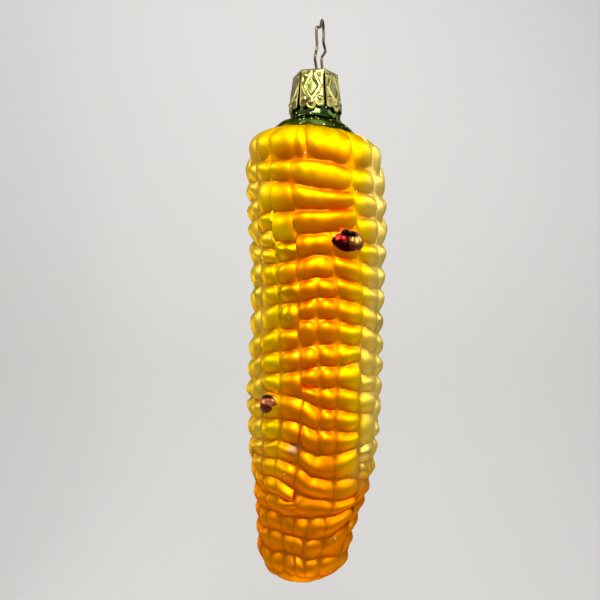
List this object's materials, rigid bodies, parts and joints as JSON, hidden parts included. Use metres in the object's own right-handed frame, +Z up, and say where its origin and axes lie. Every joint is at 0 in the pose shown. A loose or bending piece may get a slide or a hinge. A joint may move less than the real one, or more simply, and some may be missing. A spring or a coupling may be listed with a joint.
{
  "type": "glass corn cob ornament",
  "caption": "Hollow blown-glass ornament in the shape of a corn cob, lacquered yellow and orange, with a green neck, a stamped metal crown cap and a spring wire loop to hang it by.",
  "frame": {"origin": "top of the inside of the hanging loop, where a hook bears, so the whole ornament hangs below it", "axes": "+Z up along the ornament, -Y towards its front, +X to the right as seen from the front"},
  "size_m": [0.0382, 0.0382, 0.153],
  "materials": {
    "lacquered_glass": "blown glass, silvered inside, under a satin yellow and orange lacquer, dark green gloss lacquer on the neck",
    "cap_metal": "thin stamped sheet, bright pale gold",
    "wire": "drawn spring wire, bright"
  },
  "bodies": {
    "root": {"glass_cob": "lacquered_glass", "crown_cap": "cap_metal", "hanger_wire": "wire"}
  },
  "joints": []
}
